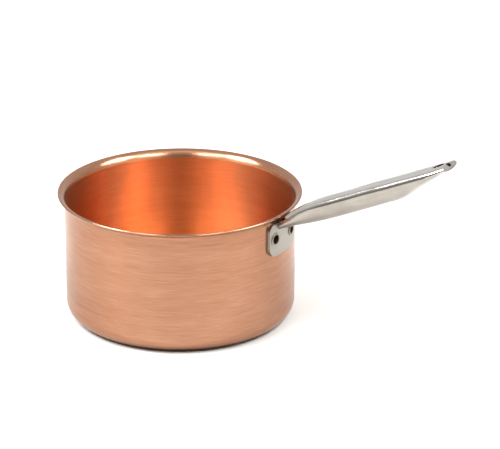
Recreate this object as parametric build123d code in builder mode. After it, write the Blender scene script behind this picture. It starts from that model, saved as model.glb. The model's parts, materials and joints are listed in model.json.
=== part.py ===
from build123d import *
from math import cos, radians, sin, sqrt
import os

os.makedirs("parts", exist_ok=True)

# Copper saucepan with a riveted, hollow stainless steel handle. Millimetres, +Z up.
# The origin is the centre of the flat base, and the handle points along +X.

# Pan body: spun copper, slightly wider at the top than at the base
pan_height = 90.0
pan_wall = 1.5
wall_radius_top = 80.0
wall_radius_low = 79.5
base_corner = 12.0
flare_radius = 4.7
flare_turn = 82.0

# Bracket: a plate bent to the pan's wall and riveted to it
bracket_width = 34.0
bracket_bottom = 60.5
bracket_top = 84.0
bracket_thickness = 2.0
bracket_top_corner = 5.0
bracket_low_corner = 6.0
bracket_blank_arc = 60.0
contact_gap = 0.05

# Rivets: tubular, headed inside the pan and rolled over outside the bracket
rivet_height = 73.0
rivet_angle = 7.8
rivet_shank = 4.0
rivet_bore = 3.1
rivet_head_radius = 6.5
rivet_head_height = 2.0
rivet_head_rim = 0.6
rivet_head_blank = 1.0
rivet_tail_radius = 4.5
rivet_tail_height = 0.6
rivet_tail_edge = 0.3
rivet_cap = 1.2
drill_start = 60.0
drill_length = 40.0

# Handle: hollow, with a flat top and a round belly, tilted up from the bracket
handle_tilt = 24.2
handle_start_x = 107.0
handle_start_z = 102.5
handle_end = 108.0
handle_root = -36.0
handle_sheet = 1.2
edge_width = 3.2
edge_depth = 5.0
edge_share = 0.45
root_curve_radius = 81.0
top_crown = 0.4
seam_depth = 3.2
end_nose = 3.2
end_corner = 5.5
end_corner_centre = 8.0
end_wall = 1.6
hang_hole_radius = 4.0
hang_hole_from_end = 8.6
end_hole_radius = 2.0

# Cutting blocks are longer than anything that they cut
cutter = 100.0

# Handle stations: distance along the handle, half width, belly's depth below the straight top
stations = (
    (handle_root, 8.8, 12.2),
    (-24.0, 9.2, 12.6),
    (-12.0, 9.8, 13.7),
    (0.0, 10.4, 14.4),
    (26.0, 11.1, 14.7),
    (58.0, 12.0, 14.5),
    (70.0, 12.2, 13.4),
    (82.0, 12.4, 10.1),
    (92.0, 12.4, 7.9),
    (101.0, 11.6, 5.6),
    (110.0, 9.2, 4.4),
)

# Where the wall's straight part ends, and how far it leans out
inner_flare = flare_radius + pan_wall
flare_start = pan_height - inner_flare * sin(radians(flare_turn))
flare_centre = wall_radius_top + flare_radius
wall_slope = (wall_radius_top - wall_radius_low) / (flare_start - base_corner)

# The bracket's two faces
plate_inside = wall_radius_top + contact_gap
plate_outside = plate_inside + bracket_thickness

# Directions along the handle and square to its top face
tilt = radians(handle_tilt)
along = Vector(cos(tilt), 0, sin(tilt))
square = Vector(-sin(tilt), 0, cos(tilt))
handle_start = Vector(handle_start_x, 0, handle_start_z)
side_plane = Plane(origin=handle_start, x_dir=along, z_dir=(0, -1, 0))
top_plane = Plane(origin=handle_start, x_dir=along, z_dir=square)


# Outer radius of the pan's straight wall at a height
def wall_radius(height):
    return wall_radius_low + wall_slope * (height - base_corner)


# Point on one of the flare's two arcs, turned out from the wall by an angle
def flare_point(radius, turn):
    angle = radians(turn)
    return (flare_centre - radius * cos(angle), flare_start + radius * sin(angle))


# Level of the handle's top against its straight part: it curves down towards the pan
def top_line(distance):
    if distance >= 0:
        return 0.0
    return sqrt(root_curve_radius**2 - distance**2) - root_curve_radius


# Solid with the handle's section, moved in from its skin: a flat top, soft edges and a round belly
def handle_core(inset):
    with BuildPart() as core:
        for distance, half_width, depth in stations:
            top = top_line(distance) - inset
            low = inset - depth
            half = half_width - inset
            flat = half_width - edge_width
            wide = edge_width - inset
            deep = min(edge_depth, edge_share * (depth + top_line(distance))) - inset
            shoulder = top - deep
            across = Plane(origin=handle_start + along * distance, x_dir=(0, 1, 0), z_dir=along)
            with BuildSketch(across):
                with BuildLine():
                    ThreePointArc((-flat, top), (0, top + top_crown), (flat, top))
                    EllipticalCenterArc((flat, shoulder), wide, deep, start_angle=0, arc_size=90)
                    EllipticalCenterArc((0, shoulder), half, shoulder - low, start_angle=180, arc_size=180)
                    EllipticalCenterArc((-flat, shoulder), wide, deep, start_angle=90, arc_size=90)
                make_face()
        loft()
    return core.part


# Handle's far end, moved in from its skin: rounded corners in plan, and a nose from the side
def end_outline(inset):
    half = end_corner_centre + end_corner - inset
    end = handle_end - inset
    high = top_crown - inset
    nose = end_nose - inset
    with BuildPart() as block:
        with BuildSketch(top_plane) as plan:
            with Locations((handle_root, 0)):
                Rectangle(end - handle_root, 2 * half, align=(Align.MIN, Align.CENTER))
            fillet(plan.vertices().group_by(Axis.X)[-1], end_corner - inset)
        extrude(amount=cutter, both=True)
        with BuildSketch(side_plane):
            with BuildLine():
                Polyline((end - nose, high), (handle_root, high), (handle_root, -cutter), (end, -cutter),
                         (end, high - nose))
                RadiusArc((end, high - nose), (end - nose, high), -nose)
            make_face()
        extrude(amount=cutter, both=True, mode=Mode.INTERSECT)
    return block.part


# Tubular rivet on a radial line of the pan, turned from the handle's direction by an angle
def tubular_rivet(angle):
    outward = Vector(cos(radians(angle)), sin(radians(angle)), 0)
    centre = Vector(0, 0, rivet_height)
    profile_plane = Plane(origin=centre, x_dir=outward, z_dir=(outward.Y, -outward.X, 0))
    inside = wall_radius(rivet_height) - pan_wall
    outside = plate_outside + contact_gap
    head = inside - rivet_head_height
    tail = outside + rivet_tail_height
    roll_start = tail - rivet_tail_edge
    roll_middle = (rivet_bore + rivet_tail_radius) / 2
    back = inside + rivet_head_blank
    rise = rivet_head_height - rivet_head_rim
    dome_radius = (rivet_head_radius**2 + rise**2) / (2 * rise)
    # low domed head, its back shaped to the inside of the wall
    with BuildPart() as domed_head:
        with BuildSketch(profile_plane):
            with BuildLine():
                Polyline(
                    (back, 0),
                    (back, rivet_head_radius),
                    (inside - rivet_head_rim, rivet_head_radius),
                )
                RadiusArc((inside - rivet_head_rim, rivet_head_radius), (head, 0), -dome_radius)
                Line((head, 0), (back, 0))
            make_face()
        revolve(axis=Axis(centre, outward))
        with BuildSketch(Plane.XY.offset(bracket_bottom)):
            Circle(wall_radius(bracket_bottom) - pan_wall - contact_gap)
        extrude(amount=pan_height - bracket_bottom, mode=Mode.INTERSECT)
    # hollow shank, and its end rolled over on the bracket
    with BuildPart() as shank:
        with BuildSketch(profile_plane):
            with BuildLine():
                Polyline((head + rivet_cap, 0), (head + rivet_cap, rivet_shank), (outside, rivet_shank),
                         (outside, rivet_tail_radius), (roll_start, rivet_tail_radius))
                ThreePointArc(
                    (roll_start, rivet_tail_radius),
                    (tail, roll_middle),
                    (roll_start, rivet_bore),
                )
                Polyline((roll_start, rivet_bore), (inside, rivet_bore), (inside, 0),
                         (head + rivet_cap, 0))
            make_face()
        revolve(axis=Axis(centre, outward))
    with BuildPart() as rivet:
        add(domed_head.part)
        add(shank.part)
    return rivet.part


# Straight drills on the two rivets' axes, a little wider than their shanks
with BuildPart() as rivet_drills:
    for angle in (-rivet_angle, rivet_angle):
        outward = Vector(cos(radians(angle)), sin(radians(angle)), 0)
        with BuildSketch(Plane(origin=Vector(0, 0, rivet_height) + outward * drill_start, z_dir=outward)):
            Circle(rivet_shank + contact_gap)
        extrude(amount=drill_length)

with BuildPart() as pan_body:
    with BuildSketch(Plane.XZ):
        with BuildLine():
            foot = wall_radius_low - base_corner
            Line((0, 0), (foot, 0))
            RadiusArc((foot, 0), (wall_radius_low, base_corner), -base_corner)
            Line((wall_radius_low, base_corner), (wall_radius_top, flare_start))
            ThreePointArc(
                (wall_radius_top, flare_start),
                flare_point(flare_radius, flare_turn / 2),
                flare_point(flare_radius, flare_turn),
            )
            lip_angle = radians(flare_turn)
            lip_radius = pan_wall / 2
            lip_middle = flare_point(flare_radius + lip_radius, flare_turn)
            ThreePointArc(
                flare_point(flare_radius, flare_turn),
                (lip_middle[0] + lip_radius * sin(lip_angle), lip_middle[1] + lip_radius * cos(lip_angle)),
                flare_point(inner_flare, flare_turn),
            )
            ThreePointArc(
                flare_point(inner_flare, flare_turn),
                flare_point(inner_flare, flare_turn / 2),
                (wall_radius_top - pan_wall, flare_start),
            )
            Line((wall_radius_top - pan_wall, flare_start), (wall_radius_low - pan_wall, base_corner))
            RadiusArc((wall_radius_low - pan_wall, base_corner), (foot, pan_wall), base_corner - pan_wall)
            Polyline((foot, pan_wall), (0, pan_wall), (0, 0))
        make_face()
    revolve(axis=Axis.Z)
    add(rivet_drills.part, mode=Mode.SUBTRACT)

with BuildPart() as handle_bracket:
    # strip of cylinder beside the wall, cut to the plate's outline seen along the handle
    middle = (bracket_bottom + bracket_top) / 2
    tall = bracket_top - bracket_bottom
    with BuildSketch(Plane.XZ.rotated((0, 0, -bracket_blank_arc / 2))):
        with Locations((plate_inside + bracket_thickness / 2, middle)):
            Rectangle(bracket_thickness, tall)
    revolve(axis=Axis.Z, revolution_arc=bracket_blank_arc)
    with BuildSketch(Plane.YZ) as outline:
        with Locations((0, middle)):
            Rectangle(bracket_width, tall)
        fillet(outline.vertices().group_by(Axis.Y)[-1], bracket_top_corner)
        fillet(outline.vertices().group_by(Axis.Y)[0], bracket_low_corner)
    extrude(amount=cutter, mode=Mode.INTERSECT)
    add(rivet_drills.part, mode=Mode.SUBTRACT)

# Space inside the handle, open towards the bracket
with BuildPart() as handle_cavity:
    add(handle_core(handle_sheet))
    add(end_outline(end_wall), mode=Mode.INTERSECT)

# The whole handle before it is split along its seam
with BuildPart() as handle_tube:
    add(handle_core(0))
    add(end_outline(0), mode=Mode.INTERSECT)
    add(handle_cavity.part, mode=Mode.SUBTRACT)
    # root trimmed to the outside of the bracket
    with BuildSketch(Plane.XY.offset(bracket_bottom)):
        Circle(plate_outside + contact_gap)
    extrude(amount=pan_height - bracket_bottom, mode=Mode.SUBTRACT)
    # hanging hole through both faces
    with BuildSketch(top_plane):
        with Locations((handle_end - hang_hole_from_end, 0)):
            Circle(hang_hole_radius)
    extrude(amount=cutter, both=True, mode=Mode.SUBTRACT)
    # small hole in the middle of the nose, square to its curve
    nose_centre = handle_start + along * (handle_end - end_nose) + square * (top_crown - end_nose)
    nose_out = along + square
    with BuildSketch(Plane(origin=nose_centre, z_dir=nose_out)):
        Circle(end_hole_radius)
    extrude(amount=cutter, mode=Mode.SUBTRACT)

# Side outline of everything above the seam, which follows the top at a fixed depth
with BuildPart() as above_seam:
    with BuildSketch(side_plane):
        with BuildLine():
            root_level = top_line(handle_root) - seam_depth
            ThreePointArc(
                (handle_root, root_level),
                (handle_root / 2, top_line(handle_root / 2) - seam_depth),
                (0, -seam_depth),
            )
            Polyline((0, -seam_depth), (handle_end + cutter, -seam_depth), (handle_end + cutter, cutter),
                     (handle_root, cutter), (handle_root, root_level))
        make_face()
    extrude(amount=cutter, both=True)

with BuildPart() as handle_top:
    add(handle_tube.part)
    add(above_seam.part, mode=Mode.INTERSECT)

with BuildPart() as handle_belly:
    add(handle_tube.part)
    add(above_seam.part, mode=Mode.SUBTRACT)

rivet_left = tubular_rivet(-rivet_angle)
rivet_right = tubular_rivet(rivet_angle)

pan_body.part.label = "pan_body"
handle_bracket.part.label = "handle_bracket"
handle_top.part.label = "handle_top"
handle_belly.part.label = "handle_belly"
rivet_left.label = "rivet_left"
rivet_right.label = "rivet_right"

export_step(pan_body.part, "parts/pan_body.step")
export_step(handle_bracket.part, "parts/handle_bracket.step")
export_step(handle_top.part, "parts/handle_top.step")
export_step(handle_belly.part, "parts/handle_belly.step")
export_step(rivet_left, "parts/rivet_left.step")
export_step(rivet_right, "parts/rivet_right.step")
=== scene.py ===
import bpy
import json
import math
import numpy as np
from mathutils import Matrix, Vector

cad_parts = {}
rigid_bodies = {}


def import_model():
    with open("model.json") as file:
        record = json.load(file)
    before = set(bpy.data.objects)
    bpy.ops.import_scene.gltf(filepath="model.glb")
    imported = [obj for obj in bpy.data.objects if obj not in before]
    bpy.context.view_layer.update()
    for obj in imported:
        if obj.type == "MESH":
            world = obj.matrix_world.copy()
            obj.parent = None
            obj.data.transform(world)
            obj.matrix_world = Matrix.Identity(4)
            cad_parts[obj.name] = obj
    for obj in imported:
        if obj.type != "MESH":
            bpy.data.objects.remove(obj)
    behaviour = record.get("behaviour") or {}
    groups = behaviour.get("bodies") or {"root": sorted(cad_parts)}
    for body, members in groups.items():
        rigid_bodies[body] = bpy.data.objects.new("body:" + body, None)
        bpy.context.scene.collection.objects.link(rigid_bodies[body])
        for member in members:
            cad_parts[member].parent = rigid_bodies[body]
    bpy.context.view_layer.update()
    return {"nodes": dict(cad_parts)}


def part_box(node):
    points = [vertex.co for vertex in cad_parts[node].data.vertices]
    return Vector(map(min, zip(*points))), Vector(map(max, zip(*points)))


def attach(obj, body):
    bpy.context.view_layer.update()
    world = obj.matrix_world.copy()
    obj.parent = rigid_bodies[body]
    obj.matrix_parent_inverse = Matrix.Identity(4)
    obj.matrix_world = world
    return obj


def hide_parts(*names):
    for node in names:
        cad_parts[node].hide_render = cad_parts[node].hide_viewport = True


# Looks for a copper saucepan with a riveted stainless steel handle. Metres unless a note says
# otherwise, +Z up, the handle towards +X.

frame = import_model()
nodes = frame["nodes"]
print("frame loaded:", ", ".join(sorted(nodes)))


def colour(hexText):
    # sRGB hex to linear
    parts = [int(hexText[i:i + 2], 16) / 255 for i in (1, 3, 5)]
    return tuple(c / 12.92 if c <= 0.04045 else ((c + 0.055) / 1.055) ** 2.4 for c in parts) + (1.0,)


def addNode(tree, kind, inputs=None, stops=(), **settings):
    # one node, its settings, its inputs (a value is set, a socket is linked), and a colour ramp's
    # two stops as (place, hex)
    node = tree.nodes.new(kind)
    for name, value in settings.items():
        setattr(node, name, value)
    for i, (place, hexText) in enumerate(stops):
        node.color_ramp.elements[i].position = place
        node.color_ramp.elements[i].color = colour(hexText)
    for key, value in (inputs or {}).items():
        if isinstance(value, bpy.types.NodeSocket):
            tree.links.new(value, node.inputs[key])
        else:
            node.inputs[key].default_value = value
    return node


def newMaterial(name):
    material = bpy.data.materials.new(name)
    material.use_nodes = True
    tree = material.node_tree
    tree.nodes.clear()
    return material, tree


def arc(centre, radius, start, end, count):
    # points on a circle's arc, angles in degrees
    a = np.radians(np.linspace(start, end, count))
    return np.stack([centre[0] + radius * np.cos(a), centre[1] + radius * np.sin(a)], 1)


def line(start, end, count):
    t = np.linspace(0, 1, count)[:, None]
    return np.array(start) * (1 - t) + np.array(end) * t


def meshPiece(name, points, faces, replaced, material):
    # a smooth mesh object in metres, riding on the root and standing for its CAD node
    mesh = bpy.data.meshes.new(name)
    mesh.from_pydata(points.tolist(), [], faces)
    mesh.polygons.foreach_set("use_smooth", np.ones(len(mesh.polygons), bool))
    mesh.update()
    piece = bpy.data.objects.new(name, mesh)
    bpy.context.scene.collection.objects.link(piece)
    mesh.materials.append(material)
    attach(piece, "root")
    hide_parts(replaced)
    return piece


copperLook = {
    "pale": "#B4886E",       # outside: freshly brushed metal
    "deep": "#99674D",       # outside, slightly warmer where it has dulled
    "insideGlowPale": "#DCA174",     # inside: painted light, a warmer and brighter copy of the same copper for the glow within the pan
    "insideGlowDeep": "#C78558",
    "lineSpacing": 0.7,      # mm; real brushing is about 0.1 mm, drawn coarser so that it shows
    "bandSpacing": 6.0,      # mm; faint rings left by the spinning tool
    "roughness": (0.27, 0.34),
    "cloudRange": (0.2, 0.8),    # patch values that get the least and the most roughness
    "brushing": 0.85,        # 0 to 1; draws the sheen out across the rings
    "brushingTurn": 0.25,    # of a full turn; from along the rings to across them
    "rim": (0.086, 0.089),   # m; the lip's polish begins at the first height and is full at the second
    "rimGloss": 0.55,        # the lip's roughness as a share of the wall's
    "bump": 0.012,
    "stretch": (5.0, 0.8),   # noise cells per radian round the pan, for the fine lines and the bands
    "detail": (2.0, 1.0, 3.0),   # octaves of noise in the lines, the bands and the patches
    "ringDecay": 0.6,        # how strongly the finer octaves count, 0 to 1
    "cloudDecay": 0.55,
    "lineWeight": 2.0,       # fine lines, against one each for the bands and the patches
    "outsideStops": (0.30, 0.70),    # closer stops give the outside more contrast
    "insideStops": (0.25, 0.75),
    "bumpDepth": 0.0002,     # m
    "cloudScale": 18.0,      # per metre; patches about 55 mm across
}


def copperMaterial():
    # Spun C110 copper, brushed round its axis: broad soft highlights that stretch up the wall,
    # fine rings, and a slight warm unevenness
    look = copperLook
    material, tree = newMaterial("spunCopper")
    place = addNode(tree, "ShaderNodeTexCoord").outputs["Object"]
    xyz = addNode(tree, "ShaderNodeSeparateXYZ", {0: place}).outputs
    flat = addNode(tree, "ShaderNodeCombineXYZ", {0: xyz[0], 1: xyz[1]}).outputs[0]
    radius = addNode(tree, "ShaderNodeVectorMath", {0: flat}, operation="LENGTH").outputs["Value"]
    around = addNode(tree, "ShaderNodeVectorMath", {0: flat}, operation="NORMALIZE").outputs["Vector"]
    xy = addNode(tree, "ShaderNodeSeparateXYZ", {0: around}).outputs
    # height plus radius grows all along the section, from the middle of the base to the lip
    run = addNode(tree, "ShaderNodeMath", {0: xyz[2], 1: radius}, operation="ADD").outputs[0]
    ringSpace = addNode(tree, "ShaderNodeCombineXYZ", {0: xy[0], 1: xy[1], 2: run}).outputs[0]

    def rings(spacing, stretch, detail):
        scale = 1000 / spacing
        vector = addNode(tree, "ShaderNodeVectorMath", {0: ringSpace, 1: (stretch, stretch, scale)},
                         operation="MULTIPLY").outputs["Vector"]
        return addNode(tree, "ShaderNodeTexNoise", {"Vector": vector, "Scale": 1.0, "Detail": detail,
                                                    "Roughness": look["ringDecay"]}).outputs["Fac"]

    fine = rings(look["lineSpacing"], look["stretch"][0], look["detail"][0])
    bands = rings(look["bandSpacing"], look["stretch"][1], look["detail"][1])
    cloud = addNode(tree, "ShaderNodeTexNoise", {"Vector": place, "Scale": look["cloudScale"],
                                                 "Detail": look["detail"][2],
                                                 "Roughness": look["cloudDecay"]}).outputs["Fac"]
    # a weighted mean: fine lines count for half, bands and clouds for a quarter each
    blend = addNode(tree, "ShaderNodeMath", {0: fine, 1: look["lineWeight"], 2: bands},
                    operation="MULTIPLY_ADD")
    total = addNode(tree, "ShaderNodeMath", {0: blend.outputs[0], 1: cloud}, operation="ADD")
    mixed = addNode(tree, "ShaderNodeMath", {0: total.outputs[0], 1: 1 / (look["lineWeight"] + 2)},
                    operation="MULTIPLY")
    outsideTones = zip(look["outsideStops"], (look["deep"], look["pale"]))
    outside = addNode(tree, "ShaderNodeValToRGB", {0: mixed.outputs[0]}, stops=outsideTones).outputs[0]
    # painted light: the inner skin gets a brighter, warmer copy of the copper's tones
    insideGlowTones = zip(look["insideStops"], (look["insideGlowDeep"], look["insideGlowPale"]))
    insideGlowTone = addNode(tree, "ShaderNodeValToRGB", {0: mixed.outputs[0]}, stops=insideGlowTones).outputs[0]
    inside = addNode(tree, "ShaderNodeAttribute", attribute_name="inside").outputs["Fac"]
    # a mix set to colour takes its colours on sockets 6 and 7 and gives them on 2
    tone = addNode(tree, "ShaderNodeMix", {0: inside, 6: outside, 7: insideGlowTone}, data_type="RGBA").outputs[2]
    rough = addNode(tree, "ShaderNodeMapRange", {"Value": cloud, "From Min": look["cloudRange"][0],
                                                 "From Max": look["cloudRange"][1],
                                                 "To Min": look["roughness"][0],
                                                 "To Max": look["roughness"][1]}).outputs["Result"]
    # the lip is handled and wiped most, so it is smoother
    rim = addNode(tree, "ShaderNodeMapRange", {"Value": xyz[2], "From Min": look["rim"][0],
                                               "From Max": look["rim"][1], "To Min": 1.0,
                                               "To Max": look["rimGloss"]}).outputs["Result"]
    rough = addNode(tree, "ShaderNodeMath", {0: rough, 1: rim}, operation="MULTIPLY").outputs[0]
    bump = addNode(tree, "ShaderNodeBump", {"Height": fine, "Strength": look["bump"],
                                            "Distance": look["bumpDepth"]})
    tangent = addNode(tree, "ShaderNodeTangent", direction_type="RADIAL", axis="Z").outputs[0]
    shader = addNode(tree, "ShaderNodeBsdfPrincipled", {
        "Base Color": tone, "Metallic": 1.0, "Roughness": rough, "Normal": bump.outputs[0],
        "Anisotropic": look["brushing"], "Anisotropic Rotation": look["brushingTurn"],
        "Tangent": tangent})
    addNode(tree, "ShaderNodeOutputMaterial", {"Surface": shader.outputs[0]})
    return material


steelLook = {
    # grain is about the width of a hairline in mm
    "handleSteel": {"pale": "#B9B4AD", "deep": "#A9A49D", "rough": (0.13, 0.19), "bump": 0.03, "grain": 0.9},
    # the belly is the top's steel painted darker: painted shade on the handle's underside
    "bellyShadedSteel": {"pale": "#A39D95", "deep": "#8F8880", "rough": (0.15, 0.22), "bump": 0.03, "grain": 0.9},
    # the bracket is rougher, and its darker tone is painted shade under the handle
    "bracketShadedSteel": {"pale": "#9D978F", "deep": "#8A847D", "rough": (0.30, 0.40), "bump": 0.05, "grain": 0.8},
    "rivetSteel": {"pale": "#9A948C", "deep": "#827C75", "rough": (0.34, 0.44), "bump": 0.04, "grain": 0.6},
    "boreShade": "#7D6A5A",       # painted shade for the inside of a rivet's bore
    "boreDepth": 0.0775,     # m from the pan's axis; the bore's floor
    "boreRadius": 0.0034,    # m
    "cloudScale": 55.0,      # per metre; patches about 18 mm across
    "tilt": 24.2,            # degrees; the handle rises this much and its brushing runs along it
    "stretch": 0.05,         # how fast hairlines change along the handle, as a share of across it
    "detail": (3.0, 2.0),    # octaves of noise in the hairlines and the patches
    "hairDecay": 0.6,        # how strongly the finer octaves count, 0 to 1
    "hairWeight": 0.7,       # hairlines, against one for the patches
    "hairRange": (0.3, 0.7),     # hairline values that get the least and the most roughness
    "stops": (0.55, 1.0),
    "bumpDepth": 0.0001,     # m
}


def steelMaterial(name):
    # Satin 18/10 stainless, brushed lengthwise on a belt: a soft sheen across the grain, faint
    # hairlines along it, and a slightly warm grey
    look = steelLook[name]
    material, tree = newMaterial(name)
    place = addNode(tree, "ShaderNodeTexCoord").outputs["Object"]
    scale = 1000 / look["grain"]
    tilt = math.radians(steelLook["tilt"])
    turned = addNode(tree, "ShaderNodeMapping", {"Vector": place, "Rotation": (0, tilt, 0)}).outputs[0]
    spread = (scale * steelLook["stretch"], scale, scale)
    grain = addNode(tree, "ShaderNodeVectorMath", {0: turned, 1: spread},
                    operation="MULTIPLY").outputs["Vector"]
    hair = addNode(tree, "ShaderNodeTexNoise", {"Vector": grain, "Scale": 1.0,
                                                "Detail": steelLook["detail"][0],
                                                "Roughness": steelLook["hairDecay"]}).outputs["Fac"]
    cloud = addNode(tree, "ShaderNodeTexNoise", {"Vector": place, "Scale": steelLook["cloudScale"],
                                                 "Detail": steelLook["detail"][1]}).outputs["Fac"]
    mixed = addNode(tree, "ShaderNodeMath", {0: hair, 1: steelLook["hairWeight"], 2: cloud},
                    operation="MULTIPLY_ADD").outputs[0]
    tones = zip(steelLook["stops"], (look["deep"], look["pale"]))
    tone = addNode(tree, "ShaderNodeValToRGB", {0: mixed}, stops=tones).outputs[0]
    if name == "rivetSteel":
        # painted shade within the bore: near the rivet's axis, and further out than its floor
        along = (math.cos(rivetTurn), math.sin(rivetTurn), 0)
        sideways = (-along[1], along[0], 0)
        mirrored = addNode(tree, "ShaderNodeVectorMath", {0: place}, operation="ABSOLUTE").outputs[0]
        aside = addNode(tree, "ShaderNodeVectorMath", {0: mirrored, 1: sideways},
                        operation="DOT_PRODUCT").outputs["Value"]
        out = addNode(tree, "ShaderNodeVectorMath", {0: mirrored, 1: along},
                      operation="DOT_PRODUCT").outputs["Value"]
        up = addNode(tree, "ShaderNodeSeparateXYZ", {0: place}).outputs[2]
        up = addNode(tree, "ShaderNodeMath", {0: up, 1: rivetHeight}, operation="SUBTRACT").outputs[0]
        across = addNode(tree, "ShaderNodeCombineXYZ", {0: aside, 1: up}).outputs[0]
        offAxis = addNode(tree, "ShaderNodeVectorMath", {0: across}, operation="LENGTH").outputs["Value"]
        near = addNode(tree, "ShaderNodeMath", {0: offAxis, 1: steelLook["boreRadius"]},
                       operation="LESS_THAN").outputs[0]
        deep = addNode(tree, "ShaderNodeMath", {0: out, 1: steelLook["boreDepth"]},
                       operation="GREATER_THAN").outputs[0]
        boreShadeMask = addNode(tree, "ShaderNodeMath", {0: near, 1: deep}, operation="MULTIPLY").outputs[0]
        tone = addNode(tree, "ShaderNodeMix", {0: boreShadeMask, 6: tone, 7: colour(steelLook["boreShade"])},
                       data_type="RGBA").outputs[2]
    rough = addNode(tree, "ShaderNodeMapRange", {"Value": hair, "From Min": steelLook["hairRange"][0],
                                                 "From Max": steelLook["hairRange"][1],
                                                 "To Min": look["rough"][0],
                                                 "To Max": look["rough"][1]}).outputs["Result"]
    bump = addNode(tree, "ShaderNodeBump", {"Height": hair, "Strength": look["bump"],
                                            "Distance": steelLook["bumpDepth"]})
    shader = addNode(tree, "ShaderNodeBsdfPrincipled", {
        "Base Color": tone, "Metallic": 1.0, "Roughness": rough, "Normal": bump.outputs[0]})
    addNode(tree, "ShaderNodeOutputMaterial", {"Surface": shader.outputs[0]})
    return material


def middleOf(mesh):
    # the average of the faces' centres, weighted by area; on a turned part it lies on the axis
    areas = np.zeros(len(mesh.polygons))
    centres = np.zeros(len(mesh.polygons) * 3)
    mesh.polygons.foreach_get("area", areas)
    mesh.polygons.foreach_get("center", centres)
    return (centres.reshape(-1, 3) * areas[:, None]).sum(0) / areas.sum()


# the rivets lie along radii of the pan, one each side of the handle
rivetMiddle = middleOf(nodes["rivet_left"].data)
rivetHeight = rivetMiddle[2]
rivetTurn = abs(math.atan2(rivetMiddle[1], rivetMiddle[0]))
print("rivets at", round(rivetHeight * 1000, 2), "mm, turned", round(math.degrees(rivetTurn), 2), "degrees")

spunCopper = copperMaterial()
steels = {name: steelMaterial(name) for name in ("handleSteel", "bellyShadedSteel", "bracketShadedSteel", "rivetSteel")}
print("materials made")


pan = {
    # mm and degrees
    "wall": 1.5,
    "topRadius": 80.0,       # outside, where the wall meets the flare and where it meets the corner
    "lowRadius": 79.5,
    "corner": 12.0,          # outside radius between the base and the wall
    "flare": 4.7,            # outside radius of the lip's curve, and how far it turns outward
    "flareTurn": 82.0,
    "segments": 360,
    "linePoints": (24, 40),  # points along the base and up the wall
    "cornerPoints": (20, 18),    # outside and inside
    "flarePoints": (16, 9, 18),  # outside, round the lip, inside
    "drillSegments": 64,
    "crease": 40.0,          # edges sharper than this are drawn sharp
    "rivetHole": 4.05,       # radius
    "drillStart": 60.0,      # mm from the axis, clear of the wall's inner face
    "drillLength": 40.0,
}


def panSection(height):
    # half section, from the middle of the underside round the lip to the middle of the floor
    p = pan
    inner = p["flare"] + p["wall"]
    turn = math.radians(p["flareTurn"])
    start = height - inner * math.sin(turn)
    centre = (p["topRadius"] + p["flare"], start)
    foot = p["lowRadius"] - p["corner"]
    lip = np.array(centre) + (p["flare"] + p["wall"] / 2) * np.array([-math.cos(turn), math.sin(turn)])
    end = 180 - p["flareTurn"]
    along, up = p["linePoints"]
    parts = [
        line((0, 0), (foot, 0), along),
        arc((foot, p["corner"]), p["corner"], -90, 0, p["cornerPoints"][0]),
        line((p["lowRadius"], p["corner"]), (p["topRadius"], start), up),
        arc(centre, p["flare"], 180, end, p["flarePoints"][0]),
        arc(lip, p["wall"] / 2, end - 180, end, p["flarePoints"][1]),
        arc(centre, inner, end, 180, p["flarePoints"][2]),
        line((p["topRadius"] - p["wall"], start), (p["lowRadius"] - p["wall"], p["corner"]), up),
        arc((foot, p["corner"]), p["corner"] - p["wall"], 0, -90, p["cornerPoints"][1]),
        line((foot, p["wall"]), (0, p["wall"]), along),
    ]
    return np.concatenate([part if i == 0 else part[1:] for i, part in enumerate(parts)]) / 1000


def revolved(section, count):
    # point(i, j) = (r_i cos a_j, r_i sin a_j, z_i), a_j evenly round the axis; the two ends on the axis
    # are single points joined by fans
    a = np.arange(count) * 2 * math.pi / count
    ring = section[1:-1]
    body = np.stack([ring[:, :1] * np.cos(a), ring[:, :1] * np.sin(a), ring[:, 1:] + 0 * a], 2).reshape(-1, 3)
    points = np.concatenate([body, [[0, 0, section[0, 1]]], [[0, 0, section[-1, 1]]]])
    i, j = np.meshgrid(np.arange(len(ring) - 1), np.arange(count), indexing="ij")
    k = (j + 1) % count
    low, high = i * count, (i + 1) * count
    quads = np.stack([low + j, low + k, high + k, high + j], 2).reshape(-1, 4)
    j = np.arange(count)
    k = (j + 1) % count
    last = (len(ring) - 1) * count
    first = np.stack([np.full(count, len(body)), k, j], 1)
    final = np.stack([last + j, last + k, np.full(count, len(body) + 1)], 1)
    return points, quads.tolist() + first.tolist() + final.tolist()


def cutRound(piece, drills):
    # takes straight round drills (start, direction, radius, length in metres) out of a piece, then
    # marks its sharp edges
    for start, direction, radius, length in drills:
        section = np.array([[0, 0], [radius, 0], [radius, length], [0, length]])
        points, faces = revolved(section, pan["drillSegments"])
        turn = np.array(Vector(direction).to_track_quat("Z", "Y").to_matrix())
        mesh = bpy.data.meshes.new("drill")
        mesh.from_pydata((points @ turn.T + np.array(start)).tolist(), [], faces)
        mesh.update()
        drill = bpy.data.objects.new("drill", mesh)
        bpy.context.scene.collection.objects.link(drill)
        cut = piece.modifiers.new("cut", "BOOLEAN")
        cut.operation = "DIFFERENCE"
        cut.solver = "EXACT"
        cut.object = drill
        done = bpy.data.meshes.new_from_object(piece.evaluated_get(bpy.context.evaluated_depsgraph_get()))
        piece.modifiers.clear()
        piece.data = done
        bpy.data.objects.remove(drill)
    piece.data.set_sharp_from_angle(angle=math.radians(pan["crease"]))


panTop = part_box("pan_body")[1].z * 1000
points, faces = revolved(panSection(panTop), pan["segments"])
panPiece = meshPiece("spun_pan", points, faces, "pan_body", spunCopper)
drills = []
for side in (-1, 1):
    out = np.array([math.cos(rivetTurn * side), math.sin(rivetTurn * side), 0])
    start = out * pan["drillStart"] / 1000 + np.array([0, 0, rivetHeight])
    drills.append((start, out, pan["rivetHole"] / 1000, pan["drillLength"] / 1000))
cutRound(panPiece, drills)


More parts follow.
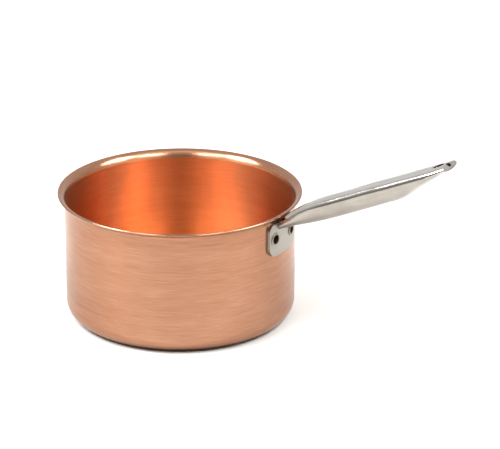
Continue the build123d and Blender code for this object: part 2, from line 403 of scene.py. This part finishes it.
def markInside(mesh):
    # 1 on the inner skin below the lip and 0 elsewhere: inside the middle of the wall, above the
    # middle of the base, and nearer the corner's centre than the middle of the corner
    co = np.zeros(len(mesh.vertices) * 3)
    mesh.vertices.foreach_get("co", co)
    x, y, z = co.reshape(-1, 3).T * 1000
    r = np.hypot(x, y)
    foot = pan["lowRadius"] - pan["corner"]
    inCorner = (r > foot) & (z < pan["corner"])
    outerCorner = inCorner & (np.hypot(r - foot, z - pan["corner"]) > pan["corner"] - pan["wall"] / 2)
    inside = (r < pan["lowRadius"] - pan["wall"] / 2) & (z > pan["wall"] / 2) & ~outerCorner
    mark = mesh.attributes.new("inside", "FLOAT", "POINT")
    mark.data.foreach_set("value", inside.astype(np.float32))


markInside(panPiece.data)
print("pan body:", len(panPiece.data.polygons), "faces")


for node, name in (("handle_top", "handleSteel"), ("handle_belly", "bellyShadedSteel"),
                   ("handle_bracket", "bracketShadedSteel"), ("rivet_left", "rivetSteel"),
                   ("rivet_right", "rivetSteel")):
    nodes[node].data.materials.clear()
    nodes[node].data.materials.append(steels[name])
print("steel pieces finished")


studio = {
    "floor": "#C2C2C0",      # pale grey paper, lit until it reads as white
    "floorReach": 3.0,       # m from the middle to each side
    "distance": 2.5,         # m from the camera to the middle of the base
    "azimuth": -60.0,        # degrees, the camera's bearing from the handle's direction
    "elevation": 22.823,
    "aimRight": 0.04896,     # the look point, right of and above the middle of the base
    "aimUp": 0.05971,
    "lens": 256.83,          # mm, as is the sensor's width
    "room": "#F2F2F2",
    "roomShade": "#6E6966",  # the room is darker low down on the camera's side
    "roomLight": 1.05,
    "shadeSide": (-0.2, 0.45),       # cosines of the turn from the camera where it begins and is full
    "shadeHeight": (0.35, 0.85),     # sines of the heights where it starts to fade and is gone
    "floorRoughness": 0.9,
    "floorGloss": 0.1,
    "sensorWidth": 36.0,
    "farClip": 20.0,
}

floorMesh = bpy.data.meshes.new("floor")
half = studio["floorReach"]
corners = [(-half, -half, 0), (half, -half, 0), (half, half, 0), (-half, half, 0)]
floorMesh.from_pydata(corners, [], [(0, 1, 2, 3)])
floor = bpy.data.objects.new("floor", floorMesh)
bpy.context.scene.collection.objects.link(floor)
floorPaint, tree = newMaterial("palePaper")
shader = addNode(tree, "ShaderNodeBsdfPrincipled", {"Base Color": colour(studio["floor"]),
                                                    "Roughness": studio["floorRoughness"],
                                                    "Specular IOR Level": studio["floorGloss"]})
addNode(tree, "ShaderNodeOutputMaterial", {"Surface": shader.outputs[0]})
floorMesh.materials.append(floorPaint)

el, az = math.radians(studio["elevation"]), math.radians(studio["azimuth"])
place = Vector((math.cos(el) * math.cos(az), math.cos(el) * math.sin(az), math.sin(el))) * studio["distance"]
ahead = -place.normalized()
rightward = ahead.cross(Vector((0, 0, 1))).normalized()
upward = rightward.cross(ahead)
aim = rightward * studio["aimRight"] + upward * studio["aimUp"]
camera = bpy.data.objects.new("camera", bpy.data.cameras.new("camera"))
bpy.context.scene.collection.objects.link(camera)
camera.location = place
camera.rotation_euler = (aim - place).to_track_quat("-Z", "Y").to_euler()
camera.data.lens = studio["lens"]
camera.data.sensor_width = studio["sensorWidth"]
camera.data.clip_end = studio["farClip"]
bpy.context.scene.camera = camera

world = bpy.data.worlds.new("studioRoom")
world.use_nodes = True
tree = world.node_tree
tree.nodes.clear()
direction = addNode(tree, "ShaderNodeTexCoord").outputs["Generated"]
front = Vector((place.x, place.y, 0)).normalized()
facing = addNode(tree, "ShaderNodeVectorMath", {0: direction, 1: front},
                 operation="DOT_PRODUCT").outputs["Value"]
height = addNode(tree, "ShaderNodeSeparateXYZ", {0: direction}).outputs[2]
nearSide = addNode(tree, "ShaderNodeMapRange", {"Value": facing, "From Min": studio["shadeSide"][0],
                                                "From Max": studio["shadeSide"][1]},
                   interpolation_type="SMOOTHSTEP").outputs["Result"]
lowDown = addNode(tree, "ShaderNodeMapRange", {"Value": height, "From Min": studio["shadeHeight"][0],
                                               "From Max": studio["shadeHeight"][1],
                                               "To Min": 1.0, "To Max": 0.0},
                  interpolation_type="SMOOTHSTEP").outputs["Result"]
dark = addNode(tree, "ShaderNodeMath", {0: nearSide, 1: lowDown}, operation="MULTIPLY").outputs[0]
shade = addNode(tree, "ShaderNodeValToRGB", {0: dark},
                stops=((0.0, studio["room"]), (1.0, studio["roomShade"]))).outputs[0]
back = addNode(tree, "ShaderNodeBackground", {"Color": shade, "Strength": studio["roomLight"]})
addNode(tree, "ShaderNodeOutputWorld", {"Surface": back.outputs[0]})
bpy.context.scene.world = world


lamps = {
    # bearing from the handle's direction and elevation in degrees, distance, width and height in
    # metres, watts
    "leftBox": (-98.0, 52.0, 1.6, 0.55, 0.6, 12.5),
    "rightBox": (-23.0, 52.0, 1.6, 0.55, 0.6, 13.5),
    "farLeftBox": (-140.0, 48.0, 1.6, 0.7, 0.7, 37.0),
    "farRightBox": (20.0, 48.0, 1.6, 0.7, 0.7, 26.0),
    "topBox": (-60.0, 84.0, 1.3, 2.0, 0.40, 3.0),
}
for name, (bearing, rise, far, wide, tall, watts) in lamps.items():
    data = bpy.data.lights.new(name, "AREA")
    data.shape = "RECTANGLE"
    data.size, data.size_y, data.energy = wide, tall, watts
    lamp = bpy.data.objects.new(name, data)
    bpy.context.scene.collection.objects.link(lamp)
    a, b = math.radians(bearing), math.radians(rise)
    spot = Vector((math.cos(b) * math.cos(a), math.cos(b) * math.sin(a), math.sin(b))) * far
    lamp.location = spot
    lamp.rotation_euler = (-spot).to_track_quat("-Z", "Y").to_euler()

bpy.context.scene.view_settings.view_transform = "Standard"
print("floor, light and camera set")
